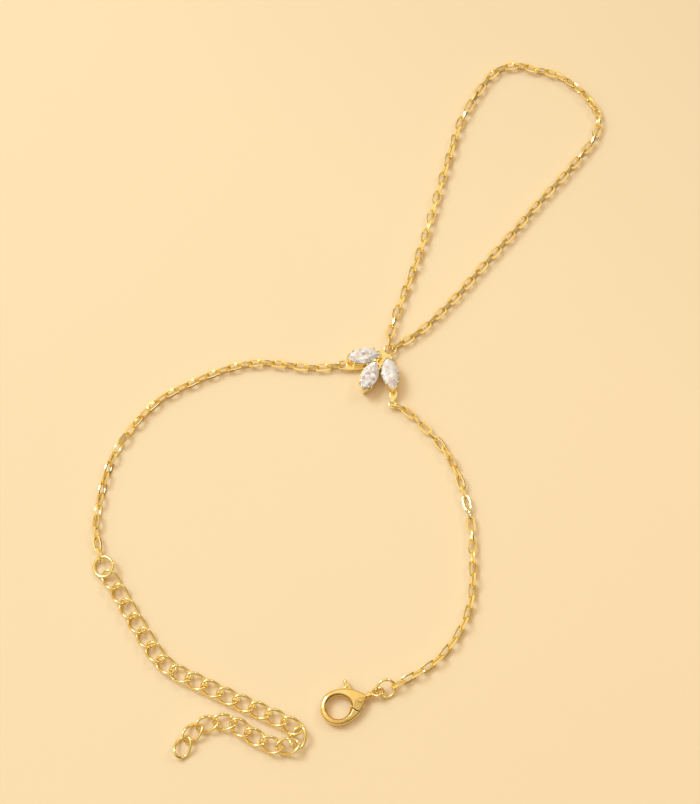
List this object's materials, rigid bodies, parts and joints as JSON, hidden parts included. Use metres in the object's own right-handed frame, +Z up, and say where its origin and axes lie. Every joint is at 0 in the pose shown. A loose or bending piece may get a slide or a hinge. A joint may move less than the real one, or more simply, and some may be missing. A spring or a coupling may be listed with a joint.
{
  "type": "hand chain bracelet",
  "caption": "Hand chain bracelet lying open: finger loop of fine cable chain, leaf of marquise stones, wrist chains, lobster clasp and extender.",
  "frame": {"origin": "on the surface that the bracelet lies on, below the middle of its outline", "axes": "+X to the right, +Y from the clasp towards the top of the finger loop, +Z up"},
  "size_m": [0.0922, 0.1323, 0.003],
  "materials": {
    "gold": "polished gold plate",
    "stone": "clear, faceted"
  },
  "bodies": {
    "bracelet": {"setting": "gold", "finger_chain_left": "gold", "finger_chain_right": "gold", "wrist_chain_left": "gold", "wrist_chain_right": "gold", "extender_ring": "gold", "clasp_ring": "gold", "clasp_body": "gold", "clasp_pin": "gold", "extender_link_01": "gold", "extender_link_02": "gold", "extender_link_03": "gold", "extender_link_04": "gold", "extender_link_05": "gold", "extender_link_06": "gold", "extender_link_07": "gold", "extender_link_08": "gold", "extender_link_09": "gold", "extender_link_10": "gold", "extender_link_11": "gold", "extender_link_12": "gold", "extender_link_13": "gold", "extender_link_14": "gold", "extender_link_15": "gold", "extender_link_16": "gold", "extender_link_17": "gold", "extender_link_18": "gold", "extender_link_19": "gold", "extender_link_20": "gold", "extender_link_21": "gold", "extender_link_22": "gold", "extender_link_23": "gold", "extender_link_24": "gold", "stone_left": "stone", "stone_middle": "stone", "stone_right": "stone"},
    "lever": {"clasp_lever": "gold"}
  },
  "joints": [
    {"name": "clasp_lever_hinge", "type": "hinge", "parent": "bracelet", "child": "lever", "pos_m": [0.00067, -0.05641, 0.0009], "axis": [0, 0, -1], "range_deg": [0, 28], "stiffness_Nm_per_rad": 0.004, "springref_deg": -11.46}
  ]
}
